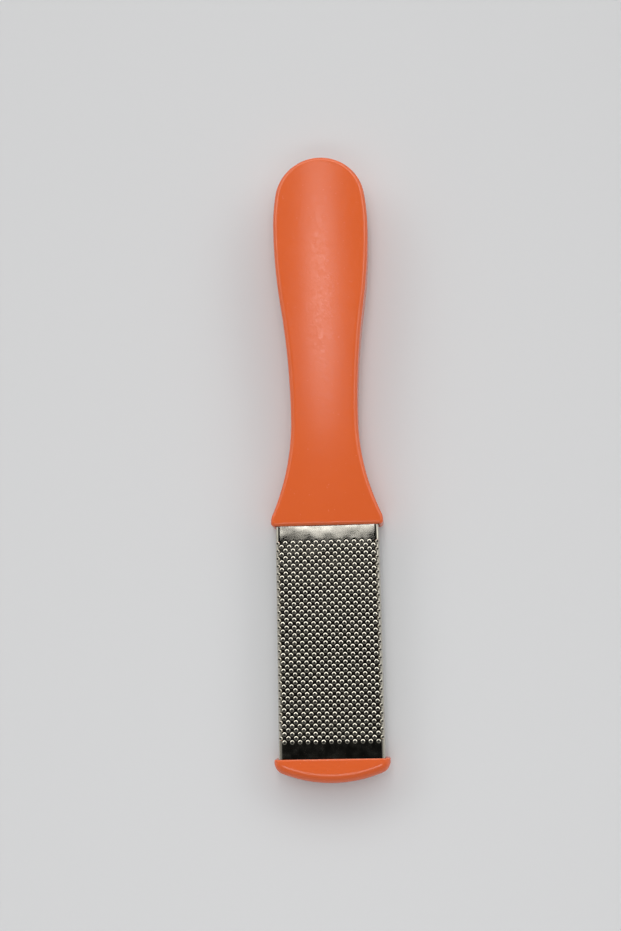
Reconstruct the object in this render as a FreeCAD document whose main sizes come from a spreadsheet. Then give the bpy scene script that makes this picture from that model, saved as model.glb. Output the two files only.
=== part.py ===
import FreeCAD, Part
import os
import Sketcher
from FreeCAD import Rotation, Vector

# Foot file: a flat paddle with a burred steel sheet in front and an emery sheet behind, on a
# waisted handle of two hollow halves, closed at the far end by a cap. It lies on its back at
# z = 0, the burrs face +Z, the handle points along +Y and x = 0 is the plane of symmetry.

doc = FreeCAD.newDocument("foot_file")
sizes = doc.addObject("Spreadsheet::Sheet", "sizes")

driving = {
    # along the tool
    "handle_length": 126.4,
    "window_length": 74.8,
    "cap_length": 7.6,
    # handle outline
    "bulb_width": 32.1,
    "bulb_from_tip": 24.2,
    "bulb_radius": 68.5,
    "flank_radius": 190.0,
    "neck_width": 22.2,
    "neck_from_shoulder": 35.5,
    "shoulder_width": 36.9,
    "shoulder_corner": 5.0,
    "shoulder_land": 1.5,
    # handle heights and rounding
    "shoulder_lip": 1.8,
    "crest_rise": 3.2,
    "crest_from_tip": 42.0,
    "crown_radius": 160.0,
    "grip_round": 2.0,
    "shoulder_round": 1.3,
    "lip_round": 1.15,
    "seam_depth": 0.2,
    "seam_height": 0.2,
    # inside the handle
    "shell_wall": 2.2,
    "tongue_inset": 0.7,
    "tongue_width": 0.8,
    "tongue_height": 0.9,
    "mouth_depth": 3.3,
    "bulkhead": 2.5,
    "rib_thickness": 1.6,
    "boss_diameter": 6.0,
    "peg_diameter": 3.0,
    "peg_length": 2.6,
    "first_peg_from_shoulder": 26.0,
    "last_peg_from_tip": 20.0,
    # end cap
    "cap_width": 37.2,
    "cap_thickness": 11.0,
    "cap_corner": 4.0,
    "cap_side": 0.8,
    "cap_round": 3.2,
    "cap_lip_round": 0.45,
    # paddle
    "front_recess": 1.0,
    "back_recess": 1.0,
    "plate_width": 34.0,
    "plate_thickness": 0.4,
    "plate_bend": 1.1,
    "plate_return": 3.4,
    "shoulder_tuck": 3.0,
    "cap_tuck": 2.0,
    "emery_thickness": 0.7,
    "adhesive_thickness": 0.15,
    "emery_gap": 0.6,
    # core
    "tang_width": 14.0,
    "tang_thickness": 5.0,
    "tang_length": 37.0,
    "spigot_width": 18.0,
    "spigot_thickness": 4.5,
    "spigot_length": 2.2,
    "core_rim": 2.4,
    "core_web": 1.8,
    "core_floor": 3.0,
    "core_cells": 6,
    # burrs
    "burr_pitch": 2.5,
    "burr_cap_margin": 5.4,
    "burr_shoulder_margin": 5.2,
    "burr_base": 1.72,
    "burr_root": 0.27,
    "burr_hole": 0.84,
    "burr_edge": 0.08,
    "burr_height": 0.6,
    # clearances
    "fit": 0.1,
    "peg_fit": 0.1,
    "overcut": 1.0,
}
for row, (alias, number) in enumerate(driving.items(), start=1):
    sizes.set(f"A{row}", str(number))
    sizes.setAlias(f"A{row}", alias)
doc.recompute()

# Places along the tool, worked out from the driving sizes
cap_end = "(-(sizes.handle_length + sizes.window_length + sizes.cap_length) / 2)"
cap_edge = f"({cap_end} + sizes.cap_length)"
shoulder = f"({cap_edge} + sizes.window_length)"
tip = f"({shoulder} + sizes.handle_length)"
neck = f"({shoulder} + sizes.neck_from_shoulder)"
bulb = f"({tip} - sizes.bulb_from_tip)"
crest = f"({tip} - sizes.crest_from_tip)"
plate_near = f"({shoulder} + sizes.shoulder_tuck)"
plate_far = f"({cap_edge} - sizes.cap_tuck)"
mouth_floor = f"({shoulder} + sizes.mouth_depth)"
cavity_start = f"({mouth_floor} + sizes.bulkhead)"
tang_end = f"({plate_near} + sizes.tang_length)"
rib_end = f"({tang_end} - sizes.rib_thickness)"
first_peg = f"({shoulder} + sizes.first_peg_from_shoulder)"
last_peg = f"({tip} - sizes.last_peg_from_tip)"
middle_peg = f"(({first_peg} + {last_peg}) / 2)"

# Heights through the paddle, from the back plane upwards
emery_top = "(sizes.back_recess + sizes.emery_thickness)"
core_low = f"({emery_top} + sizes.adhesive_thickness)"
plate_low = f"({core_low} - sizes.plate_thickness)"
plate_high = "(sizes.cap_thickness - sizes.front_recess)"
core_high = f"({plate_high} - sizes.plate_thickness)"
split = f"(({plate_low} + {plate_high}) / 2)"
shoulder_top = f"({plate_high} + sizes.shoulder_lip)"
crest_top = f"({shoulder_top} + sizes.crest_rise)"
above = f"({crest_top} + sizes.overcut)"
below = "(-sizes.overcut)"
tang_low = f"({split} - sizes.tang_thickness / 2)"
tang_high = f"({split} + sizes.tang_thickness / 2)"

# Half widths
plate_half = "(sizes.plate_width / 2)"
core_half = f"({plate_half} - sizes.plate_thickness - sizes.fit / 2)"
emery_half = f"({plate_half} - sizes.plate_return - sizes.emery_gap)"
beside = "(sizes.shoulder_width + sizes.bulb_width)"
tang_half = "(sizes.tang_width / 2)"
spigot_half = "(sizes.spigot_width / 2)"

# Two places closer than this are the same place
touching = 1e-4


def value(expression):
    return float(sizes.evalExpression(expression))


def bind(item, links):
    for name, expression in links.items():
        item.setExpression(name, expression)


def box(name, across, along, upward):
    item = doc.addObject("Part::Box", name)
    spans = zip(("Length", "Width", "Height"), "xyz", (across, along, upward))
    for side, axis, (low, high) in spans:
        bind(item, {side: f"{high} - {low}", f"Placement.Base.{axis}": low})
    return item


def pillar(name, along, diameter, low, high):
    item = doc.addObject("Part::Cylinder", name)
    bind(item, {"Radius": f"{diameter} / 2", "Height": f"{high} - {low}"})
    bind(item, {"Placement.Base.y": along, "Placement.Base.z": low})
    return item


def fuse(name, pieces):
    item = doc.addObject("Part::MultiFuse", name)
    item.Shapes = pieces
    return item


def cut(name, base, tool):
    item = doc.addObject("Part::Cut", name)
    item.Base = base
    item.Tool = tool
    return item


def common(name, base, tool):
    item = doc.addObject("Part::Common", name)
    item.Base = base
    item.Tool = tool
    return item


def prism(name, profile, up, down):
    item = doc.addObject("Part::Extrusion", name)
    item.Base = profile
    item.DirMode = "Custom"
    item.Dir = Vector(0, 0, 1)
    item.Solid = True
    bind(item, {"LengthFwd": up, "LengthRev": down})
    return item


def arc(centre, radius, start, end):
    middle = (start + end) * 0.5 - centre
    return Part.Arc(start, centre + middle.normalize() * radius, end)


def between(centre, other, radius):
    return centre + (other - centre).normalize() * radius


def mirrored(point):
    return Vector(-point.x, point.y, 0)


# Handle outline: tangent arcs from the tip over the bulb, in to the neck and out to the shoulder
def outline_points():
    bulb_half = value("sizes.bulb_width / 2")
    neck_half = value("sizes.neck_width / 2")
    shoulder_half = value("sizes.shoulder_width / 2")
    bulb_radius = value("sizes.bulb_radius")
    flank_radius = value("sizes.flank_radius")
    corner_radius = value("sizes.shoulder_corner")
    tip_y, bulb_y, neck_y, shoulder_y = (value(place) for place in (tip, bulb, neck, shoulder))
    land_y = value(f"{shoulder} + sizes.shoulder_land")

    reach = tip_y - bulb_y
    beyond_axis = bulb_radius - bulb_half
    end_radius = (bulb_radius**2 - beyond_axis**2 - reach**2) / (2 * (bulb_radius - reach))
    taper = bulb_half - neck_half
    neck_radius = (taper**2 + (bulb_y - neck_y)**2) / (2 * taper) - flank_radius
    flare = shoulder_half - neck_half
    flare_radius = (flare**2 + (neck_y - land_y)**2) / (2 * flare) - corner_radius

    end_centre = Vector(0, tip_y - end_radius, 0)
    bulb_centre = Vector(bulb_half - bulb_radius, bulb_y, 0)
    flank_centre = Vector(bulb_half - flank_radius, bulb_y, 0)
    neck_centre = Vector(neck_half + neck_radius, neck_y, 0)
    flare_centre = Vector(neck_half + flare_radius, neck_y, 0)
    corner_centre = Vector(shoulder_half - corner_radius, land_y, 0)

    points = [
        between(bulb_centre, end_centre, bulb_radius),
        Vector(bulb_half, bulb_y, 0),
        between(flank_centre, neck_centre, flank_radius),
        Vector(neck_half, neck_y, 0),
        between(flare_centre, corner_centre, flare_radius),
        Vector(shoulder_half, land_y, 0),
        Vector(shoulder_half, shoulder_y, 0),
    ]
    centres = [bulb_centre, flank_centre, neck_centre, flare_centre, corner_centre]
    radii = [bulb_radius, flank_radius, neck_radius, flare_radius, corner_radius]
    return end_centre, end_radius, points, centres, radii


def handle_outline():
    end_centre, end_radius, points, centres, radii = outline_points()
    sketch = doc.addObject("Sketcher::SketchObject", "handle_outline")
    bind(sketch, {"Placement.Base.z": split})
    left_points = [mirrored(point) for point in points]
    left_centres = [mirrored(centre) for centre in centres]
    right, left = [], []
    for side, corners, middles in ((right, points, centres), (left, left_points, left_centres)):
        for centre, radius, start, end in zip(middles, radii, corners, corners[1:]):
            side.append(arc(centre, radius, start, end))
        side.append(Part.LineSegment(corners[-2], corners[-1]))
    base = Part.LineSegment(points[-1], left_points[-1])
    tip_point = end_centre + Vector(0, end_radius, 0)
    end = Part.Arc(left_points[0], tip_point, points[0])
    for curve in right + [base] + left[::-1] + [end]:
        sketch.addGeometry(curve, False)
    bound_arcs = {0: "bulb_radius", 1: "flank_radius", 4: "shoulder_corner"}
    for index, alias in bound_arcs.items():
        place = sketch.addConstraint(Sketcher.Constraint("Radius", index, value(f"sizes.{alias}")))
        sketch.setExpression(f"Constraints[{place}]", f"sizes.{alias}")
    return sketch


def inset(name, profile, distance):
    item = doc.addObject("Part::Offset2D", name)
    item.Source = profile
    item.Join = "Intersection"
    bind(item, {"Value": f"-({distance})"})
    return item


# The crown is a slice of a large ring: gently domed across, and falling from its crest both ways
def crown(name, drop):
    run = f"({crest} - {shoulder})"
    sweep = f"(({run} ^ 2 + sizes.crest_rise ^ 2) / (2 * sizes.crest_rise))"
    item = doc.addObject("Part::Torus", name)
    bind(item, {"Radius1": f"{sweep} - sizes.crown_radius", "Radius2": f"sizes.crown_radius - {drop}"})
    bind(item, {"Placement.Base.y": crest, "Placement.Base.z": f"{crest_top} - {sweep}"})
    item.Placement.Rotation = Rotation(Vector(0, 1, 0), 90)
    return item


def on_plane(shape, axis, place):
    bounds = shape.BoundBox
    low, high = getattr(bounds, f"{axis}Min"), getattr(bounds, f"{axis}Max")
    return abs(low - place) < touching and abs(high - place) < touching


def rim_radius(y):
    grip = value("sizes.grip_round")
    small = value("sizes.shoulder_round")
    low = value(f"{shoulder} + sizes.shoulder_land")
    share = (y - low) / (value(neck) - low)
    return small + (grip - small) * min(1.0, max(0.0, share))


# Rounds the rim of a half: full radius on the grip, running out to a small one at the shoulder.
# One side is rounded and then mirrored. The two radii of an edge are read in the direction of
# the rim's first edge.
def round_rim(name, base, face_test):
    length = (f"({shoulder} - sizes.overcut)", f"({tip} + sizes.overcut)")
    side = common(f"{name}_side", base, box(f"{name}_side_room", ("0", beside), length, (below, above)))
    doc.recompute()
    edges = [edge for face in side.Shape.Faces if face_test(face) for edge in face.Edges]
    numbered = list(enumerate(side.Shape.Edges, start=1))
    first_rises = None
    rim = []
    for edge in edges:
        if on_plane(edge, "Y", value(shoulder)) or on_plane(edge, "X", 0):
            continue
        number = next(number for number, other in numbered if other.isSame(edge))
        ends = [edge.valueAt(edge.FirstParameter).y, edge.valueAt(edge.LastParameter).y]
        rises = ends[0] < ends[1]
        if first_rises is None:
            first_rises = rises
        if rises != first_rises:
            ends.reverse()
        rim.append((number, rim_radius(ends[0]), rim_radius(ends[1])))
    rounded = doc.addObject("Part::Fillet", f"{name}_rounded_side")
    rounded.Base = side
    rounded.Edges = rim
    other_side = doc.addObject("Part::Mirroring", f"{name}_other_side")
    other_side.Source = rounded
    other_side.Normal = Vector(1, 0, 0)
    both = fuse(name, [rounded, other_side])
    both.Refine = True
    return both


# Rounds the shoulder's end face all round, but not where the two halves meet
def round_lip(name, base):
    doc.recompute()
    place, middle, radius = value(shoulder), value(split), value("sizes.lip_round")
    chosen = []
    for number, edge in enumerate(base.Shape.Edges, start=1):
        if on_plane(edge, "Y", place) and not on_plane(edge, "Z", middle):
            chosen.append((number, radius, radius))
    item = doc.addObject("Part::Fillet", name)
    item.Base = base
    item.Edges = chosen
    return item


def ring(name, profile, outer, wall, up, down):
    outer_line = inset(f"{name}_outer_line", profile, outer)
    inner_line = inset(f"{name}_inner_line", profile, f"{outer} + {wall}")
    outside = prism(f"{name}_outside", outer_line, up, down)
    inside = prism(f"{name}_inside", inner_line, up, down)
    return cut(name, outside, inside)


# A shallow step round the outside, which shows as a line where the two halves meet
def seam(name, profile, up, down):
    return ring(f"{name}_seam", profile, "(-sizes.overcut)", "(sizes.overcut + sizes.seam_depth)", up, down)


pegs = {"first": first_peg, "middle": middle_peg, "last": last_peg}


# What stays solid inside a half: the bulkhead, the bosses, a centre rib and a rest for the tang
def kept_inside(name, rest):
    right_through = (below, above)
    full_width = (f"-{beside}", beside)
    thin = ("(-sizes.rib_thickness / 2)", "(sizes.rib_thickness / 2)")
    mouth_end = (f"({shoulder} - sizes.overcut)", cavity_start)
    past_tang = (f"({tang_end} + sizes.fit)", tip)
    pieces = [
        box(f"{name}_bulkhead", full_width, mouth_end, right_through),
        box(f"{name}_tang_rest", full_width, (rib_end, tang_end), rest),
        box(f"{name}_centre_rib", thin, past_tang, right_through),
    ]
    for which, place in pegs.items():
        pieces.append(pillar(f"{name}_{which}_boss", place, "sizes.boss_diameter", below, above))
    return fuse(f"{name}_kept", pieces)


# The mouth takes the end of the sheet and the slot behind it takes the tang
def paddle_seat(name):
    mouth = box(
        f"{name}_mouth",
        (f"-({plate_half} + sizes.fit)", f"({plate_half} + sizes.fit)"),
        (f"({shoulder} - sizes.overcut)", mouth_floor),
        (f"({plate_low} - sizes.fit)", f"({plate_high} + sizes.fit)"),
    )
    slot = box(
        f"{name}_slot",
        (f"-({tang_half} + sizes.fit)", f"({tang_half} + sizes.fit)"),
        (shoulder, f"({cavity_start} + sizes.overcut)"),
        (f"({tang_low} - sizes.fit)", f"({tang_high} + sizes.fit)"),
    )
    return fuse(f"{name}_seat", [mouth, slot])


def front_shell(profile, inner_profile):
    height = f"({above} - {split})"
    block = prism("front_block", profile, height, "0")
    form = common("front_form", block, crown("front_crown", "0"))
    rounded = round_rim("front_rounded", form, lambda face: isinstance(face.Surface, Part.Toroid))
    lipped = round_lip("front_lipped", rounded)
    hollow_block = prism("front_hollow_block", inner_profile, height, "0")
    hollow_form = common("front_hollow_form", hollow_block, crown("front_hollow_crown", "sizes.shell_wall"))
    rest = (f"({tang_high} + sizes.fit)", above)
    hollow = cut("front_hollow", hollow_form, kept_inside("front", rest))
    shell = cut("front_open", lipped, hollow)
    tongue = ring(
        "tongue",
        profile,
        "sizes.tongue_inset",
        "sizes.tongue_width",
        "sizes.tongue_height",
        "sizes.tongue_height",
    )
    pieces = [shell, tongue]
    low, high = (f"({split} {sign} sizes.peg_length)" for sign in "-+")
    for which, place in pegs.items():
        pieces.append(pillar(f"{which}_peg", place, "sizes.peg_diameter", low, high))
    gaps = [paddle_seat("front"), seam("front", profile, "sizes.seam_height", "sizes.overcut")]
    return cut("handle_front_shell", fuse("front_joined", pieces), fuse("front_gaps", gaps))


def back_shell(profile, inner_profile):
    block = prism("back_block", profile, "0", split)
    rounded = round_rim("back_rounded", block, lambda face: on_plane(face, "Z", 0))
    lipped = round_lip("back_lipped", rounded)
    hollow_form = prism("back_hollow_form", inner_profile, "0", f"({split} - sizes.shell_wall)")
    rest = (below, f"({tang_low} - sizes.fit)")
    hollow = cut("back_hollow", hollow_form, kept_inside("back", rest))
    shell = cut("back_open", lipped, hollow)
    groove = ring(
        "groove",
        profile,
        "(sizes.tongue_inset - sizes.fit)",
        "(sizes.tongue_width + 2 * sizes.fit)",
        "sizes.overcut",
        "(sizes.tongue_height + sizes.fit)",
    )
    sockets = [groove, paddle_seat("back"), seam("back", profile, "sizes.overcut", "sizes.seam_height")]
    for which, place in pegs.items():
        low = f"({split} - sizes.peg_length - sizes.fit)"
        diameter = "(sizes.peg_diameter + 2 * sizes.peg_fit)"
        sockets.append(pillar(f"{which}_socket", place, diameter, low, f"({split} + sizes.overcut)"))
    return cut("handle_back_shell", shell, fuse("back_sockets", sockets))


# Sketches of the two bodies: a plane of the body's own origin, moved along its normal
def sketch_on(body, name, role, offset):
    sketch = body.newObject("Sketcher::SketchObject", name)
    plane = next(feature for feature in body.Origin.OriginFeatures if feature.Role == role)
    sketch.AttachmentSupport = (plane, [""])
    sketch.MapMode = "FlatFace"
    bind(sketch, {"AttachmentOffset.Base.z": offset})
    return sketch


def rectangle(sketch, across, upward):
    left, right = (value(place) for place in across)
    low, high = (value(place) for place in upward)
    corners = [Vector(left, low), Vector(right, low), Vector(right, high), Vector(left, high)]
    first = sketch.GeometryCount
    for start, end in zip(corners, corners[1:] + corners[:1]):
        sketch.addGeometry(Part.LineSegment(start, end), False)
    for side in range(4):
        joined = first + (side + 1) % 4
        sketch.addConstraint(Sketcher.Constraint("Coincident", first + side, 2, joined, 1))
    for side, direction in enumerate(("Horizontal", "Vertical", "Horizontal", "Vertical")):
        sketch.addConstraint(Sketcher.Constraint(direction, first + side))
    corner_links = ((0, across[0], upward[0]), (2, across[1], upward[1]))
    for side, x_place, y_place in corner_links:
        for direction, place in (("DistanceX", x_place), ("DistanceY", y_place)):
            rule = Sketcher.Constraint(direction, -1, 1, first + side, 1, value(place))
            sketch.setExpression(f"Constraints[{sketch.addConstraint(rule)}]", place)


def feature(body, kind, name, sketch, length, backwards=False):
    item = body.newObject(f"PartDesign::{kind}", name)
    item.Profile = sketch
    item.Reversed = backwards
    item.setExpression("Length", length)
    doc.recompute()
    return item


def round_edges(body, name, radius, chosen):
    base = body.Tip
    numbered = enumerate(base.Shape.Edges, start=1)
    names = [f"Edge{number}" for number, edge in numbered if chosen(edge)]
    item = body.newObject("PartDesign::Fillet", name)
    item.Base = (base, names)
    item.setExpression("Radius", radius)
    doc.recompute()
    return item


# Core: the moulded blade under the sheet, hollowed from the front, with a tang and a spigot
def blade_core():
    body = doc.addObject("PartDesign::Body", "blade_core")
    blade = sketch_on(body, "blade_section", "XZ_Plane", f"-{plate_near}")
    rectangle(blade, (f"-{core_half}", core_half), (core_low, core_high))
    feature(body, "Pad", "blade", blade, f"{plate_near} - {plate_far}")

    def long_edge(edge):
        return edge.BoundBox.YLength > value(f"({plate_near} - {plate_far}) / 2")

    round_edges(body, "blade_edges", "sizes.plate_bend - sizes.plate_thickness", long_edge)
    tang = sketch_on(body, "tang_section", "XZ_Plane", f"-{plate_near}")
    rectangle(tang, (f"-{tang_half}", tang_half), (tang_low, tang_high))
    feature(body, "Pad", "tang", tang, "sizes.tang_length", backwards=True)
    spigot = sketch_on(body, "spigot_section", "XZ_Plane", f"-{plate_far}")
    low, high = (f"({split} {sign} sizes.spigot_thickness / 2)" for sign in "-+")
    rectangle(spigot, (f"-{spigot_half}", spigot_half), (low, high))
    feature(body, "Pad", "spigot", spigot, "sizes.spigot_length")

    step = f"(({plate_near} - {plate_far} - 2 * sizes.core_rim + sizes.core_web) / sizes.core_cells)"
    cells = sketch_on(body, "core_cells", "XY_Plane", core_high)
    start = f"({plate_far} + sizes.core_rim)"
    along = (start, f"({start} + {step} - sizes.core_web)")
    web_half = "(sizes.core_web / 2)"
    cell_half = f"({core_half} - sizes.core_rim)"
    rectangle(cells, (f"-{cell_half}", f"-{web_half}"), along)
    rectangle(cells, (web_half, cell_half), along)
    pocket = feature(body, "Pocket", "core_cell", cells, f"{core_high} - {core_low} - sizes.core_floor")
    pattern = body.newObject("PartDesign::LinearPattern", "core_cell_row")
    pattern.Originals = [pocket]
    pattern.Direction = (cells, ["V_Axis"])
    pattern.setExpression("Length", f"{step} * (sizes.core_cells - 1)")
    pattern.setExpression("Occurrences", "sizes.core_cells")
    body.Tip = pattern
    doc.recompute()

    eye = sketch_on(body, "tang_eye", "XY_Plane", tang_high)
    eye_radius = "sizes.boss_diameter / 2 + sizes.peg_fit"
    eye_centre = Vector(0, value(first_peg), 0)
    eye.addGeometry(Part.Circle(eye_centre, Vector(0, 0, 1), value(eye_radius)), False)
    eye.addConstraint(Sketcher.Constraint("PointOnObject", 0, 3, -2))
    height = eye.addConstraint(Sketcher.Constraint("DistanceY", -1, 1, 0, 3, value(first_peg)))
    radius = eye.addConstraint(Sketcher.Constraint("Radius", 0, value(eye_radius)))
    eye.setExpression(f"Constraints[{height}]", first_peg)
    eye.setExpression(f"Constraints[{radius}]", eye_radius)
    feature(body, "Pocket", "tang_hole", eye, "sizes.tang_thickness")
    return body


# End cap: a D-shaped block, square towards the paddle and bowed at the end
def cap_outline(sketch):
    half = value("sizes.cap_width / 2")
    corner = value("sizes.cap_corner")
    edge_y, end_y = value(cap_edge), value(cap_end)
    side_y = value(f"{cap_edge} - sizes.cap_side")
    rise = side_y - end_y
    inner = half - corner
    bow = (inner**2 + rise**2 - corner**2) / (2 * (rise - corner))
    bow_centre = Vector(0, end_y + bow, 0)
    corner_centre = Vector(inner, side_y, 0)
    touch = between(bow_centre, corner_centre, bow)
    top, side = Vector(half, edge_y, 0), Vector(half, side_y, 0)
    curves = [
        Part.LineSegment(mirrored(top), top),
        Part.LineSegment(top, side),
        arc(corner_centre, corner, side, touch),
        Part.Arc(touch, Vector(0, end_y, 0), mirrored(touch)),
        arc(mirrored(corner_centre), corner, mirrored(touch), mirrored(side)),
        Part.LineSegment(mirrored(side), mirrored(top)),
    ]
    for curve in curves:
        sketch.addGeometry(curve, False)
    corner_arc = 2
    rule = sketch.addConstraint(Sketcher.Constraint("Radius", corner_arc, corner))
    sketch.setExpression(f"Constraints[{rule}]", "sizes.cap_corner")


def end_cap():
    body = doc.addObject("PartDesign::Body", "end_cap")
    plan = sketch_on(body, "cap_plan", "XY_Plane", "0")
    cap_outline(plan)
    feature(body, "Pad", "cap_block", plan, "sizes.cap_thickness")
    edge_y = value(cap_edge)

    def bowed_rim(edge):
        return edge.BoundBox.ZLength < touching and not on_plane(edge, "Y", edge_y)

    round_edges(body, "cap_rim", "sizes.cap_round", bowed_rim)
    round_edges(body, "cap_lip", "sizes.cap_lip_round", lambda edge: on_plane(edge, "Y", edge_y))
    socket = sketch_on(body, "plate_socket_section", "XZ_Plane", f"-{cap_edge}")
    across = (f"(-({plate_half} + sizes.fit))", f"({plate_half} + sizes.fit)")
    rectangle(socket, across, (f"({plate_low} - sizes.fit)", f"({plate_high} + sizes.fit)"))
    feature(body, "Pocket", "plate_socket", socket, "sizes.cap_tuck + sizes.fit", backwards=True)
    hole = sketch_on(body, "spigot_socket_section", "XZ_Plane", f"-{cap_edge}")
    across = (f"(-({spigot_half} + sizes.fit))", f"({spigot_half} + sizes.fit)")
    low = f"({split} - sizes.spigot_thickness / 2 - sizes.fit)"
    high = f"({split} + sizes.spigot_thickness / 2 + sizes.fit)"
    rectangle(hole, across, (low, high))
    depth = "sizes.cap_tuck + sizes.spigot_length + sizes.fit"
    feature(body, "Pocket", "spigot_socket", hole, depth, backwards=True)
    return body


# Rasp sheet: folded round the core, then pierced from behind so that each hole stands in a burr
def folded_sheet():
    near, far = value(plate_near), value(plate_far)
    low, high, half = value(plate_low), value(plate_high), value(plate_half)
    sheet, bend = value("sizes.plate_thickness"), value("sizes.plate_bend")
    gap = half - value("sizes.plate_return")

    def rounded_bar(shrink):
        width, height = 2 * (half - shrink), high - low - 2 * shrink
        bar = Part.makeBox(width, near - far, height, Vector(-width / 2, far, low + shrink))
        long_edges = [edge for edge in bar.Edges if edge.BoundBox.YLength > (near - far) / 2]
        return bar.makeFillet(bend - shrink, long_edges)

    opening = Part.makeBox(2 * gap, near - far, 2 * sheet, Vector(-gap, far, low - sheet / 2))
    return rounded_bar(0).cut(rounded_bar(sheet)).cut(opening)


def burr_places():
    pitch = value("sizes.burr_pitch")
    start = value(f"{cap_edge} + sizes.burr_cap_margin")
    stop = value(f"{shoulder} - sizes.burr_shoulder_margin")
    reach = value(f"{plate_half} - sizes.plate_bend - sizes.burr_base / 2")
    rows = int((stop - start) / (pitch / 2)) + 1
    columns = int(reach / (pitch / 2))
    places = []
    for row in range(rows):
        for column in range(-columns, columns + 1):
            if (row + column) % 2 == 0:
                places.append((column * pitch / 2, start + row * pitch / 2))
    return places


def pierced(corners, holes):
    outer = Part.makePolygon(corners + corners[:1])
    down = Vector(0, 0, -1)
    rings = [Part.Wire(Part.makeCircle(radius, centre, down)) for centre, radius in holes]
    return Part.Face([outer] + rings)


def rasp_plate():
    sheet = folded_sheet()
    high, thickness = value(plate_high), value("sizes.plate_thickness")
    height = value("sizes.burr_height")
    base = value("sizes.burr_base / 2")
    hollow = base - value("sizes.burr_root")
    hole = value("sizes.burr_hole / 2")
    rim = hole + value("sizes.burr_edge")
    flat = value(f"{plate_half} - sizes.plate_bend")
    near, far = value(plate_near), value(plate_far)
    places = burr_places()
    underside = high - thickness
    plain = [face for face in sheet.Faces if not on_plane(face, "Z", high)]
    faces = [face for face in plain if not on_plane(face, "Z", underside)]
    for z, radius in ((high, base), (underside, hollow)):
        corners = [Vector(x, y, z) for x, y in ((-flat, far), (flat, far), (flat, near), (-flat, near))]
        faces.append(pierced(corners, [(Vector(x, y, z), radius) for x, y in places]))
    down = Vector(0, 0, -1)
    for x, y in places:
        top = Vector(x, y, high + height)
        faces.append(Part.makeCone(base, rim, height, Vector(x, y, high)).Faces[0])
        faces.append(Part.makeCone(hollow, hole, height + thickness, Vector(x, y, underside)).Faces[0])
        edge = Part.Wire(Part.makeCircle(rim, top))
        opening = Part.Wire(Part.makeCircle(hole, top, down))
        faces.append(Part.Face([edge, opening]))
    skin = Part.Compound(faces)
    skin.sewShape()
    item = doc.addObject("Part::Feature", "rasp_plate")
    item.Shape = Part.Solid(skin.Shells[0])
    return item


# Back face: emery sheet stuck to the core between the returns of the steel sheet
def back_layer(name, low, high):
    along = (f"({cap_edge} + sizes.emery_gap)", f"({shoulder} - sizes.emery_gap)")
    return box(name, (f"-{emery_half}", emery_half), along, (low, high))


outline = handle_outline()
inner_outline = inset("inner_outline", outline, "sizes.shell_wall")
parts = [
    front_shell(outline, inner_outline),
    back_shell(outline, inner_outline),
    blade_core(),
    rasp_plate(),
    back_layer("emery_sheet", "sizes.back_recess", emery_top),
    back_layer("emery_adhesive", emery_top, core_low),
    end_cap(),
]
doc.recompute()

for item in doc.Objects:
    if "Invalid" in item.State or "Error" in item.State:
        raise RuntimeError(f"{item.Name} failed: {item.State}")
for part in parts:
    if part.Shape.isNull() or not part.Shape.isValid():
        raise RuntimeError(f"{part.Name} has no valid shape")
    if len(part.Shape.Solids) != 1:
        raise RuntimeError(f"{part.Name} holds {len(part.Shape.Solids)} solids")

os.makedirs("parts", exist_ok=True)
for part in parts:
    part.Label = part.Name
    part.Shape.exportStep(f"parts/{part.Label}.step")
    print(part.Label, round(part.Shape.Volume, 1), "mm3")
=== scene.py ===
import math
import random

import bpy
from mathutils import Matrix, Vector


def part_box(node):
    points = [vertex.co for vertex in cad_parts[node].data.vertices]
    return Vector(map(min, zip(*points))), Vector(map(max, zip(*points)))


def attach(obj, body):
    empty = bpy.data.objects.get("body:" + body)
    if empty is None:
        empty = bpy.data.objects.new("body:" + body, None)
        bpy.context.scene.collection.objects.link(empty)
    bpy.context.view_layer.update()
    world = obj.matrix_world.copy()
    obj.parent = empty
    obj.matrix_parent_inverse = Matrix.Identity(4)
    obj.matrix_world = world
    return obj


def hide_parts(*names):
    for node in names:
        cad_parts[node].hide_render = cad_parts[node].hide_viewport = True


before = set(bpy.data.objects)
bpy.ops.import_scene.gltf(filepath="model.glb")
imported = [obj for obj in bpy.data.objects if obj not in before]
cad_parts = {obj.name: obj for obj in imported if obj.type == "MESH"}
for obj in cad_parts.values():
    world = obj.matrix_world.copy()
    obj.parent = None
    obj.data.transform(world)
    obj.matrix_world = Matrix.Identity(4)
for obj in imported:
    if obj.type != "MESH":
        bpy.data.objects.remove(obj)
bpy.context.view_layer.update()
mm = 0.001  # sizes below are in millimetres, Blender's are in metres
tiny = 1e-6  # metres: closer points are the same point


def hexColour(code):  # sRGB hex to linear
    channels = [int(code[place:place + 2], 16) / 255 for place in (1, 3, 5)]
    linear = [c / 12.92 if c <= 0.04045 else ((c + 0.055) / 1.055) ** 2.4 for c in channels]
    return (*linear, 1.0)


def addNode(tree, kind, inputs=None, **settings):
    node = tree.nodes.new(kind)
    for name, setting in settings.items():
        setattr(node, name, setting)
    for socket, source in (inputs or {}).items():
        if isinstance(source, bpy.types.NodeSocket):
            tree.links.new(source, node.inputs[socket])
        else:
            node.inputs[socket].default_value = source
    return node


def newMaterial(name):
    material = bpy.data.materials.new(name)
    material.use_nodes = True
    return material, material.node_tree, material.node_tree.nodes["Principled BSDF"]


def perMetre(sizeMm):
    return 1 / (sizeMm * mm)  # texture scale that gives features of this size


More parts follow.
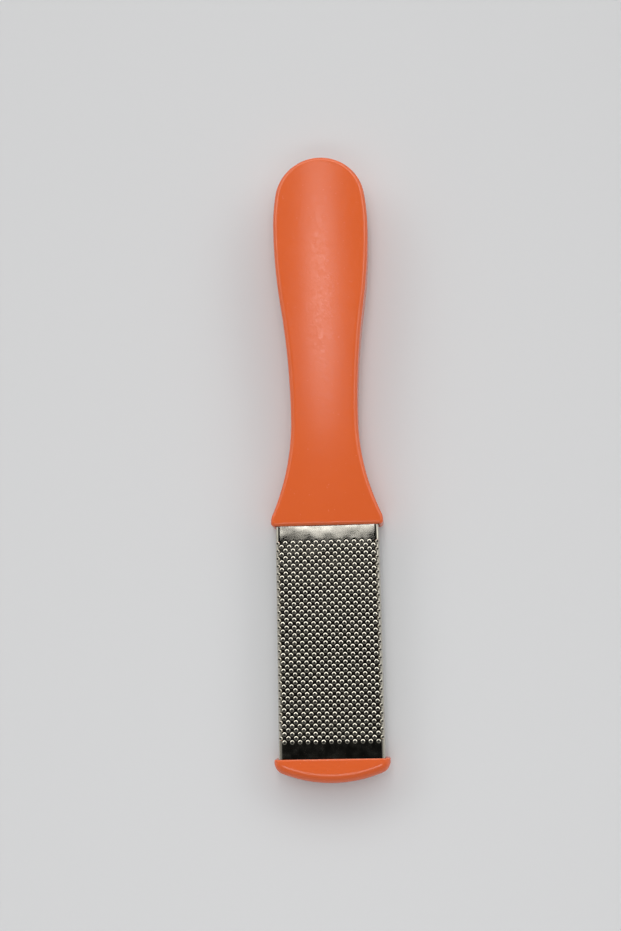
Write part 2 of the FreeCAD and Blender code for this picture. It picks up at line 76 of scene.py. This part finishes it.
# Gloss-moulded ABS: an even, saturated orange with a soft sheen, faint flow clouds and fine rub marks.
# The skin's grain and the rub marks are drawn coarser than the real ones, so that they show.
orangeAbs = {
    "colour": "#E0652F", "cloudColour": "#D85D29", "cloudSize": 26,
    "roughness": (0.14, 0.28), "glossPatch": 1.2, "glossSpan": (0.3, 0.7), "ior": 1.54,
    "skinSize": 0.6, "skinDepth": 0.022, "rubWidth": 0.3, "rubLength": 14, "rubDepth": 0.004,
}


def mouldedAbs(name, look):
    material, tree, shader = newMaterial(name)
    place = addNode(tree, "ShaderNodeTexCoord").outputs["Object"]
    clouds = addNode(tree, "ShaderNodeTexNoise", {
        "Vector": place, "Scale": perMetre(look["cloudSize"]), "Detail": 3.0, "Roughness": 0.5})
    colour = addNode(tree, "ShaderNodeMix", {
        0: clouds.outputs["Fac"], 6: hexColour(look["colour"]), 7: hexColour(look["cloudColour"])},
        data_type="RGBA")  # sockets 6 and 7 are the two colours
    tree.links.new(colour.outputs[2], shader.inputs["Base Color"])

    patches = addNode(tree, "ShaderNodeTexNoise", {
        "Vector": place, "Scale": perMetre(look["glossPatch"]), "Detail": 5.0, "Roughness": 0.6})
    gloss = addNode(tree, "ShaderNodeMapRange", {
        "Value": patches.outputs["Fac"],
        "From Min": look["glossSpan"][0], "From Max": look["glossSpan"][1],
        "To Min": look["roughness"][0], "To Max": look["roughness"][1]})
    tree.links.new(gloss.outputs["Result"], shader.inputs["Roughness"])

    skin = addNode(tree, "ShaderNodeTexNoise", {
        "Vector": place, "Scale": perMetre(look["skinSize"]), "Detail": 2.0})
    skinBump = addNode(tree, "ShaderNodeBump", {
        "Height": skin.outputs["Fac"], "Strength": 1.0, "Distance": look["skinDepth"] * mm})
    stretched = addNode(tree, "ShaderNodeMapping", {
        "Vector": place, "Scale": (1.0, look["rubWidth"] / look["rubLength"], 1.0)})
    rubs = addNode(tree, "ShaderNodeTexNoise", {
        "Vector": stretched.outputs["Vector"], "Scale": perMetre(look["rubWidth"]), "Detail": 2.0})
    rubBump = addNode(tree, "ShaderNodeBump", {
        "Height": rubs.outputs["Fac"], "Strength": 1.0, "Distance": look["rubDepth"] * mm,
        "Normal": skinBump.outputs["Normal"]})
    tree.links.new(rubBump.outputs["Normal"], shader.inputs["Normal"])
    shader.inputs["IOR"].default_value = look["ior"]
    return material


# The core is near-black ABS from an unpolished mould: dry, dark and lightly grained. Its near-black also
# stands as painted shade on the floor of every burr hole.
coreShadeLook = {
    **orangeAbs, "colour": "#262524", "cloudColour": "#1F1E1E", "roughness": (0.5, 0.62),
    "skinSize": 0.4, "skinDepth": 0.012,
}

# Bright nickel on rolled steel: a near mirror with slight clouding, roll lines and a gentle waviness.
# The roll lines are drawn wider than the real ones, so that they show.
nickelSteel = {
    "colour": "#D3CFC4", "cloudColour": "#B5B0A4", "cloudSize": 3.5,
    "roughness": (0.08, 0.17), "glossSpan": (0.35, 0.68),
    "waveSize": 8.0, "waveDepth": 0.09, "rollWidth": 0.12, "rollLength": 9, "rollDepth": 0.0008,
}


def nickelPlate(name, look):
    material, tree, shader = newMaterial(name)
    place = addNode(tree, "ShaderNodeTexCoord").outputs["Object"]
    clouds = addNode(tree, "ShaderNodeTexNoise", {
        "Vector": place, "Scale": perMetre(look["cloudSize"]), "Detail": 6.0, "Roughness": 0.65})
    colour = addNode(tree, "ShaderNodeMix", {
        0: clouds.outputs["Fac"], 6: hexColour(look["colour"]), 7: hexColour(look["cloudColour"])},
        data_type="RGBA")  # sockets 6 and 7 are the two colours
    tree.links.new(colour.outputs[2], shader.inputs["Base Color"])
    gloss = addNode(tree, "ShaderNodeMapRange", {
        "Value": clouds.outputs["Fac"],
        "From Min": look["glossSpan"][0], "From Max": look["glossSpan"][1],
        "To Min": look["roughness"][0], "To Max": look["roughness"][1]})
    tree.links.new(gloss.outputs["Result"], shader.inputs["Roughness"])
    waves = addNode(tree, "ShaderNodeTexNoise", {
        "Vector": place, "Scale": perMetre(look["waveSize"]), "Detail": 1.0})
    waveBump = addNode(tree, "ShaderNodeBump", {
        "Height": waves.outputs["Fac"], "Strength": 1.0, "Distance": look["waveDepth"] * mm})
    stretched = addNode(tree, "ShaderNodeMapping", {
        "Vector": place, "Scale": (1.0, look["rollWidth"] / look["rollLength"], 1.0)})
    rolled = addNode(tree, "ShaderNodeTexNoise", {
        "Vector": stretched.outputs["Vector"], "Scale": perMetre(look["rollWidth"]), "Detail": 2.0})
    rollBump = addNode(tree, "ShaderNodeBump", {
        "Height": rolled.outputs["Fac"], "Strength": 1.0, "Distance": look["rollDepth"] * mm,
        "Normal": waveBump.outputs["Normal"]})
    tree.links.new(rollBump.outputs["Normal"], shader.inputs["Normal"])
    shader.inputs["Metallic"].default_value = 1.0
    return material


# Emery on paper: charcoal grains in dark glue, dry between the grains; the lightest grains carry a painted
# glint colour on their faces.
# The grit is about 0.15 mm and is drawn at twice that, so that it shows at arm's length.
emeryGrit = {
    "glue": "#1D1C1C", "grain": "#4A4745", "paintedGlint": "#8A8681", "paintedGlintFrom": 0.9,
    "grainSize": 0.3, "depth": 0.06, "roughness": (0.38, 0.85), "ior": 1.6,
}


def emeryPaper(name, look):
    material, tree, shader = newMaterial(name)
    place = addNode(tree, "ShaderNodeTexCoord").outputs["Object"]
    grains = addNode(tree, "ShaderNodeTexVoronoi", {
        "Vector": place, "Scale": perMetre(look["grainSize"])})
    faces = addNode(tree, "ShaderNodeSeparateColor", {"Color": grains.outputs["Color"]})
    tones = addNode(tree, "ShaderNodeValToRGB", {"Fac": faces.outputs["Red"]})
    ramp = tones.color_ramp
    ramp.elements[0].color = hexColour(look["glue"])
    # The top of the ramp is a painted glint: the lightest grains are coloured as if they catch light
    ramp.elements[1].color = hexColour(look["paintedGlint"])
    ramp.elements.new(look["paintedGlintFrom"]).color = hexColour(look["grain"])
    tree.links.new(tones.outputs["Color"], shader.inputs["Base Color"])
    gloss = addNode(tree, "ShaderNodeMapRange", {
        "Value": faces.outputs["Green"], "To Min": look["roughness"][0], "To Max": look["roughness"][1]})
    tree.links.new(gloss.outputs["Result"], shader.inputs["Roughness"])
    relief = addNode(tree, "ShaderNodeBump", {
        "Height": grains.outputs["Distance"], "Strength": 1.0, "Distance": look["depth"] * mm}, invert=True)
    tree.links.new(relief.outputs["Normal"], shader.inputs["Normal"])
    shader.inputs["IOR"].default_value = look["ior"]
    return material


# Double-sided film: milky and slightly tacky, with small trapped air marks
filmTape = {"colour": "#E9E3D2", "airColour": "#D6CFBC", "airSize": 1.2, "roughness": 0.42, "ior": 1.48}


def adhesiveFilm(name, look):
    material, tree, shader = newMaterial(name)
    place = addNode(tree, "ShaderNodeTexCoord").outputs["Object"]
    air = addNode(tree, "ShaderNodeTexNoise", {
        "Vector": place, "Scale": perMetre(look["airSize"]), "Detail": 4.0})
    colour = addNode(tree, "ShaderNodeMix", {
        0: air.outputs["Fac"], 6: hexColour(look["colour"]), 7: hexColour(look["airColour"])},
        data_type="RGBA")
    tree.links.new(colour.outputs[2], shader.inputs["Base Color"])
    shader.inputs["Roughness"].default_value = look["roughness"]
    shader.inputs["IOR"].default_value = look["ior"]
    return material


handleAbs = mouldedAbs("orange ABS, gloss moulded", orangeAbs)
coreShadeMaterial = mouldedAbs("near-black ABS, painted shade in burr holes", coreShadeLook)
raspNickel = nickelPlate("steel sheet, bright nickel plated", nickelSteel)
emeryBack = emeryPaper("emery paper, glued grit", emeryGrit)
tapeFilm = adhesiveFilm("adhesive film, cast", filmTape)
print("materials made")


def finishNode(node, material):
    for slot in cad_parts[node].material_slots:
        slot.material = material


finishNode("handle_front_shell", handleAbs)
finishNode("handle_back_shell", handleAbs)
finishNode("end_cap", handleAbs)
finishNode("blade_core", coreShadeMaterial)
finishNode("emery_adhesive", tapeFilm)
print("handle, cap and core finished")


def namePiece(name):
    piece = bpy.context.object
    piece.name = name
    piece.data.name = name
    return piece


def clearSelection():
    bpy.ops.object.select_all(action="DESELECT")


def pickPoints(piece, test):
    bpy.ops.object.mode_set(mode="EDIT")
    bpy.ops.mesh.select_mode(type="VERT")
    bpy.ops.mesh.select_all(action="DESELECT")
    bpy.ops.object.mode_set(mode="OBJECT")
    for point in piece.data.vertices:
        point.select = test(point.co)
    bpy.ops.object.mode_set(mode="EDIT")


def pullEdges(step):
    bpy.ops.mesh.extrude_edges_move(TRANSFORM_OT_translate={"value": step})


def applyAll(piece):
    bpy.context.view_layer.objects.active = piece
    for modifier in list(piece.modifiers):
        bpy.ops.object.modifier_apply(modifier=modifier.name)


# Rasp sheet: one burr in a diamond of flat sheet, copied in staggered rows, then bordered and folded
raspSheet = {
    "bend": 1.1, "sheet": 0.4, "burrHeight": 0.6, "returnWidth": 3.4, "bendSteps": 5,
    "pitch": 2.5, "firstRow": -91.4, "rows": 52, "burrsInRow": 13, "sides": 12, "margin": 0.18,
    # radius and height of each ring, from the burr's foot over its crest to the floor of its hole
    "rings": ((0.71, 0.0), (0.67, 0.45), (0.45, 0.57), (0.41, 0.45), (0.38, -0.28)),
    "heightSpread": 0.05, "lean": 0.03, "foldHeight": 0.6, "foldShrink": 0.3,
    "seed": 11, "smoothAngle": 40, "endDip": 0.3,
}


def burrCell(kit):
    clearSelection()
    rings = kit["rings"]
    bpy.ops.mesh.primitive_circle_add(vertices=kit["sides"], radius=rings[0][0] * mm)
    cell = namePiece("burrCell")
    cell.data.materials.append(raspNickel)
    cell.data.materials.append(coreShadeMaterial)
    bpy.ops.object.mode_set(mode="EDIT")
    for (wide, low), (narrow, high) in zip(rings, rings[1:]):
        pullEdges((0, 0, (high - low) * mm))
        shrink = narrow / wide
        bpy.ops.transform.resize(value=(shrink, shrink, 1), center_override=(0, 0, high * mm))
    bpy.ops.mesh.edge_face_add()
    bpy.ops.object.mode_set(mode="OBJECT")
    # The hole floor is the core, coloured near-black as painted shade
    cell.data.polygons[-1].material_index = 1  # the core shows at the bottom of the hole
    foot = rings[0][0] * mm
    pickPoints(cell, lambda co: co.xy.length > foot - tiny)
    pullEdges((0, 0, 0))
    bpy.ops.object.mode_set(mode="OBJECT")

    # the foot's new edge is spread to a diamond, whose neighbours meet without a gap
    half = kit["pitch"] / 2 * mm
    steps = kit["sides"] // 4
    for point in cell.data.vertices:
        if not point.select:
            continue
        turn = round(math.atan2(point.co.y, point.co.x) / math.tau * kit["sides"]) % kit["sides"]
        quarter, along = divmod(turn, steps)
        x, y = half * (1 - along / steps), half * along / steps
        for _ in range(quarter):
            x, y = -y, x
        point.co = (x, y, 0)
    return cell


def copyRows(cell, columns, rows, start, pitch):
    clearSelection()
    cell.select_set(True)
    bpy.context.view_layer.objects.active = cell
    bpy.ops.object.duplicate()
    block = namePiece("raspSheet")
    for count, offset in ((columns, (pitch, 0, 0)), (rows, (0, pitch, 0))):
        array = block.modifiers.new("rowOfBurrs", "ARRAY")
        array.count = count
        array.use_relative_offset = False
        array.use_constant_offset = True
        array.constant_offset_displace = offset
    applyAll(block)
    bpy.ops.transform.translate(value=(*start, 0))
    bpy.ops.object.transform_apply(location=True, rotation=False, scale=False)
    return block


def burrField(kit):
    cell = burrCell(kit)
    step = kit["pitch"] / 2 * mm
    columns, rows, first = kit["burrsInRow"], kit["rows"], kit["firstRow"] * mm
    evenRows = copyRows(cell, columns, (rows + 1) // 2, (-(columns - 1) * step, first), 2 * step)
    oddRows = copyRows(cell, columns + 1, rows // 2, (-columns * step, first + step), 2 * step)
    bpy.data.objects.remove(cell)
    clearSelection()
    oddRows.select_set(True)
    evenRows.select_set(True)
    bpy.context.view_layer.objects.active = evenRows
    bpy.ops.object.join()
    bpy.ops.object.mode_set(mode="EDIT")
    bpy.ops.mesh.select_all(action="SELECT")
    bpy.ops.mesh.remove_doubles(threshold=tiny)
    bpy.ops.object.mode_set(mode="OBJECT")
    return evenRows


# Straightens the zigzag round the burrs into a rectangle
def squareBorder(sheet, kit):
    step, margin = kit["pitch"] / 2 * mm, kit["margin"] * mm
    first = kit["firstRow"] * mm
    last = first + (kit["rows"] - 1) * step
    lastWide = first + (kit["rows"] // 2 * 2 - 1) * step  # every second row is one burr wider
    sideTip = (kit["burrsInRow"] + 1) * step
    side, low, high = sideTip + margin, first - step - margin, last + step + margin
    bpy.ops.object.mode_set(mode="EDIT")
    bpy.ops.mesh.select_mode(type="EDGE")
    bpy.ops.mesh.select_all(action="DESELECT")
    bpy.ops.mesh.select_non_manifold()
    pullEdges((0, 0, 0))
    bpy.ops.object.mode_set(mode="OBJECT")
    for point in sheet.data.vertices:
        if not point.select:
            continue
        x, y = point.co.x, point.co.y
        nearLow, nearHigh = y < first + step + tiny, y > lastWide - tiny
        atTip = abs(x) > sideTip - tiny
        if atTip or not (nearLow or nearHigh):
            x = math.copysign(side, x)
        if nearLow or nearHigh:
            y = low if nearLow else high
        point.co = (x, y, 0)
    return side, low, high


def bendRun(start, length, steps):
    return [start + length * step / steps for step in range(steps + 1)]


def foldedSheet(kit):
    sheetLow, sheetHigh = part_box("rasp_plate")
    bend, thick = kit["bend"] * mm, kit["sheet"] * mm
    top, low = sheetHigh.z - kit["burrHeight"] * mm, sheetLow.z
    flat, arc = sheetHigh.x - bend, bend * math.pi / 2
    wall = top - low - 2 * bend
    sheet = burrField(kit)
    side, fieldLow, fieldHigh = squareBorder(sheet, kit)

    for place, end in ((fieldLow, sheetLow.y), (fieldHigh, sheetHigh.y)):
        pickPoints(sheet, lambda co: abs(co.y - place) < tiny)
        pullEdges((0, end - place, 0))

    # the section is pulled out flat: along the outside to the last edge, then back along the inside
    wallEnd = flat + arc + wall
    lastEdge = wallEnd + arc + kit["returnWidth"] * mm - bend
    outside = bendRun(wallEnd, arc, kit["bendSteps"]) + [lastEdge]
    inside = [lastEdge] + bendRun(wallEnd + arc, -arc, kit["bendSteps"])
    inside += bendRun(flat + arc, -arc, kit["bendSteps"]) + [0]
    section = [(s, 0) for s in outside] + [(s, -thick) for s in inside]
    for way in (1, -1):
        pickPoints(sheet, lambda co: abs(co.x - way * side) < tiny)
        at, depth = side, 0
        for s, z in section:
            pullEdges((way * (s - at), 0, z - depth))
            at, depth = s, z
    bpy.ops.mesh.select_all(action="SELECT")
    bpy.ops.mesh.remove_doubles(threshold=tiny)
    for end in (sheetLow.y, sheetHigh.y):
        pickPoints(sheet, lambda co: abs(co.y - end) < tiny)
        bpy.ops.mesh.edge_face_add()
    bpy.ops.mesh.select_all(action="SELECT")
    bpy.ops.mesh.normals_make_consistent(inside=False)
    bpy.ops.object.mode_set(mode="OBJECT")

    def folded(s, z):
        if s <= flat:
            return s, top + z
        if s <= flat + arc:
            turn = (s - flat) / bend
            return flat + (bend + z) * math.sin(turn), top - bend + (bend + z) * math.cos(turn)
        if s <= wallEnd:
            return flat + bend + z, top - bend - (s - flat - arc)
        if s <= wallEnd + arc:
            turn = (s - wallEnd) / bend
            return flat + (bend + z) * math.cos(turn), low + bend - (bend + z) * math.sin(turn)
        return flat - (s - wallEnd - arc), low - z

    half, firstRow = kit["pitch"] / 2 * mm, kit["firstRow"] * mm
    tilts = {}
    for point in sheet.data.vertices:
        x, y, z = point.co
        if z > tiny:  # each burr is torn a little differently
            across, along = x / half, (y - firstRow) / half
            burr = round((across + along) / 2), round((across - along) / 2)
            if burr not in tilts:
                draw = random.Random(f"{kit['seed']} {burr}")
                tilts[burr] = [draw.uniform(-1, 1) for _ in range(3)]
            tall, leanX, leanY = tilts[burr]
            x += leanX * kit["lean"] * z
            y += leanY * kit["lean"] * z
            z *= 1 + tall * kit["heightSpread"]
            if abs(sum(burr)) == kit["burrsInRow"]:  # pressed down by the fold
                middleX, middleY = sum(burr) * half, firstRow + (burr[0] - burr[1]) * half
                x += (middleX - x) * kit["foldShrink"]
                y += (middleY - y) * kit["foldShrink"]
                z *= kit["foldHeight"]
        elif y > sheetHigh.y - tiny and z > -tiny:  # the shoulder holds this end down
            z -= kit["endDip"] * mm
        across, upward = folded(abs(x), z)
        point.co = (math.copysign(across, x), y, upward)
    clearSelection()
    sheet.select_set(True)
    bpy.ops.object.shade_smooth_by_angle(angle=math.radians(kit["smoothAngle"]))
    return sheet


raspPiece = foldedSheet(raspSheet)
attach(raspPiece, "root")
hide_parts("rasp_plate")
print("rasp sheet:", len(raspPiece.data.polygons), "faces")


# Emery sheet: a cut slab whose outer face has real grit
emerySheet = {"spacing": 0.4, "gritSize": 0.5, "gritDepth": 0.12}


def grittySheet(kit):
    low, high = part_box("emery_sheet")
    size, middle = high - low, (low + high) / 2
    columns, rows = (round(length / (kit["spacing"] * mm)) for length in size.xy)
    clearSelection()
    bpy.ops.mesh.primitive_grid_add(x_subdivisions=columns, y_subdivisions=rows, size=1)
    sheet = namePiece("emerySheet")
    sheet.data.materials.append(emeryBack)
    bpy.ops.transform.resize(value=(size.x, size.y, 1))
    bpy.ops.transform.translate(value=(middle.x, middle.y, low.z))
    bpy.ops.object.transform_apply(location=True, rotation=False, scale=True)
    face = sheet.vertex_groups.new(name="gritFace")
    inside = size / 2 - Vector((kit["spacing"], kit["spacing"], 0)) * mm / 2
    for point in sheet.data.vertices:
        if abs(point.co.x - middle.x) < inside.x and abs(point.co.y - middle.y) < inside.y:
            face.add([point.index], 1.0, "REPLACE")
    bpy.ops.object.mode_set(mode="EDIT")
    bpy.ops.mesh.select_mode(type="EDGE")
    bpy.ops.mesh.select_all(action="DESELECT")
    bpy.ops.mesh.select_non_manifold()
    pullEdges((0, 0, size.z))
    bpy.ops.mesh.edge_face_add()
    bpy.ops.mesh.select_all(action="SELECT")
    bpy.ops.mesh.normals_make_consistent(inside=False)
    bpy.ops.object.mode_set(mode="OBJECT")
    grit = bpy.data.textures.new("emeryGrit", "CLOUDS")
    grit.noise_scale = kit["gritSize"] * mm
    raised = sheet.modifiers.new("grit", "DISPLACE")
    raised.texture = grit
    raised.texture_coords = "LOCAL"
    raised.direction = "Z"
    raised.mid_level = 0.0
    raised.strength = kit["gritDepth"] * mm
    raised.vertex_group = "gritFace"
    applyAll(sheet)
    return sheet


emeryPiece = grittySheet(emerySheet)
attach(emeryPiece, "root")
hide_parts("emery_sheet")
print("emery sheet:", len(emeryPiece.data.polygons), "faces")


# Stage: a pale matt floor, a studio sky and soft panels
stageLook = {
    "floor": "#D4D5D8", "floorSize": 60, "floorDrop": 0.05,  # the size is in metres, for a far horizon
    "grainSize": 120, "roughness": (0.75, 0.9),
}


def paleFloor(kit):
    clearSelection()
    bpy.ops.mesh.primitive_plane_add(size=kit["floorSize"], location=(0, 0, -kit["floorDrop"] * mm))
    floor = namePiece("floor")
    material, tree, shader = newMaterial("pale floor, matt paint")
    place = addNode(tree, "ShaderNodeTexCoord").outputs["Object"]
    grain = addNode(tree, "ShaderNodeTexNoise", {
        "Vector": place, "Scale": perMetre(kit["grainSize"]), "Detail": 3.0})
    gloss = addNode(tree, "ShaderNodeMapRange", {
        "Value": grain.outputs["Fac"], "To Min": kit["roughness"][0], "To Max": kit["roughness"][1]})
    tree.links.new(gloss.outputs["Result"], shader.inputs["Roughness"])
    shader.inputs["Base Color"].default_value = hexColour(kit["floor"])
    floor.data.materials.append(material)


paleFloor(stageLook)

# Sky levels: an almost even grey, a broad window low behind the handle, a dim patch overhead and a pale
# band along the horizon. Edges are in degrees, from where a level starts to where it is full.
skyLook = {
    "tint": "#FBFAF6", "front": 0.27, "back": 0.28, "turn": (127, 53),
    "window": 2.8, "windowSide": (98, 64), "windowTop": (45, 35), "windowTurn": 4,
    "patch": 0.005, "patchEdge": (22, 15), "patchTilt": 9, "patchStretch": 1.7,
    "haze": 0.55, "hazeTop": (24, 16),
}


def studioSky(kit):
    world = bpy.data.worlds.new("studioSky")
    bpy.context.scene.world = world
    world.use_nodes = True
    tree = world.node_tree
    way = addNode(tree, "ShaderNodeTexCoord").outputs["Generated"]
    height = addNode(tree, "ShaderNodeSeparateXYZ", {"Vector": way}).outputs["Z"]
    level = addNode(tree, "ShaderNodeVectorMath", {0: way, 1: (1, 1, 0)}, operation="MULTIPLY")
    heading = addNode(tree, "ShaderNodeVectorMath", {0: level.outputs["Vector"]}, operation="NORMALIZE")
    towards = addNode(tree, "ShaderNodeSeparateXYZ", {"Vector": heading.outputs["Vector"]}).outputs["Y"]
    windowTurn = math.radians(kit["windowTurn"])
    facing = addNode(tree, "ShaderNodeVectorMath", {
        0: heading.outputs["Vector"], 1: (math.sin(windowTurn), math.cos(windowTurn), 0)},
        operation="DOT_PRODUCT").outputs["Value"]
    turned = addNode(tree, "ShaderNodeMapping", {
        "Vector": way, "Rotation": (-math.radians(kit["patchTilt"]), 0, 0),
        "Scale": (1, kit["patchStretch"], 1)}, vector_type="TEXTURE")
    unit = addNode(tree, "ShaderNodeVectorMath", {0: turned.outputs["Vector"]}, operation="NORMALIZE")
    overhead = addNode(tree, "ShaderNodeSeparateXYZ", {"Vector": unit.outputs["Vector"]}).outputs["Z"]

    # each soft edge: what it reads, its two angles, whether they are heights, and its two levels
    edges = {
        "around": (towards, kit["turn"], False, kit["front"], kit["back"]),
        "side": (facing, kit["windowSide"], False, 0, 1),
        "top": (height, kit["windowTop"], True, 0, kit["window"]),
        "patch": (overhead, kit["patchEdge"], False, 0, 1),
        "haze": (height, kit["hazeTop"], True, 0, 1),
    }
    soft = {}
    for name, (reads, angles, heights, low, high) in edges.items():
        measure = math.sin if heights else math.cos
        start, end = (measure(math.radians(angle)) for angle in angles)
        soft[name] = addNode(tree, "ShaderNodeMapRange", {
            "Value": reads, "From Min": start, "From Max": end, "To Min": low, "To Max": high},
            interpolation_type="SMOOTHSTEP").outputs["Result"]
    window = addNode(tree, "ShaderNodeMath", {0: soft["side"], 1: soft["top"]}, operation="MULTIPLY")
    glow = addNode(tree, "ShaderNodeMath", {0: window.outputs["Value"], 1: soft["around"]}, operation="ADD")
    dimmed = addNode(tree, "ShaderNodeMix", {  # sockets 2 and 3 are the two levels
        0: soft["patch"], 2: glow.outputs["Value"], 3: kit["patch"]}, data_type="FLOAT")
    strength = addNode(tree, "ShaderNodeMix", {
        0: soft["haze"], 2: dimmed.outputs[0], 3: kit["haze"]}, data_type="FLOAT")
    sky = tree.nodes["Background"]
    sky.inputs["Color"].default_value = hexColour(kit["tint"])
    tree.links.new(strength.outputs[0], sky.inputs["Strength"])


studioSky(skyLook)

# The soft top lights without showing in the gloss, the strips draw the sheen on metal and plastic
panels = {
    "softTop": {
        "place": (0, 0, 1200), "aim": (0, 0, 0), "size": (700, 700), "radiance": 1.9, "gloss": False},
    "sheenStrip": {
        "place": (-25, 254, 510), "aim": (-25, 254, 0), "size": (76, 381), "radiance": 2.6, "gloss": True},
    "crownStrip": {
        "place": (-29, 210, 515), "aim": (-29, 210, 0), "size": (26, 180), "radiance": 5.2, "gloss": True},
    "frontStrip": {
        "place": (0, -330, 510), "aim": (0, -100, 10), "size": (500, 110), "radiance": 3.2, "gloss": True},
}
for name, kit in panels.items():
    place, aim = Vector(kit["place"]) * mm, Vector(kit["aim"]) * mm
    clearSelection()
    bpy.ops.object.light_add(type="AREA", location=place)
    lamp = bpy.context.object
    lamp.name = name
    lamp.rotation_euler = (aim - place).to_track_quat("-Z", "Y").to_euler()
    lamp.visible_glossy = kit["gloss"]
    lamp.data.shape = "RECTANGLE"
    lamp.data.size, lamp.data.size_y = (length * mm for length in kit["size"])
    lamp.data.energy = kit["radiance"] * math.pi * lamp.data.size * lamp.data.size_y
print("stage lit")

# Camera: almost square to the burrs, a little to the right and towards the cap
photoCamera = {
    "place": (20.63, -70.76, 414.75), "turn": (9.549, 3.811, -1.107),
    "lens": 48.1, "filmHeight": 36, "nearest": 10,
}
bpy.ops.object.camera_add(
    location=Vector(photoCamera["place"]) * mm,
    rotation=[math.radians(angle) for angle in photoCamera["turn"]])
camera = bpy.context.object
camera.data.sensor_fit = "VERTICAL"
camera.data.sensor_height = photoCamera["filmHeight"]
camera.data.lens = photoCamera["lens"]
camera.data.clip_start = photoCamera["nearest"] * mm
bpy.context.scene.camera = camera
bpy.context.scene.view_settings.view_transform = "Standard"
print("camera set")
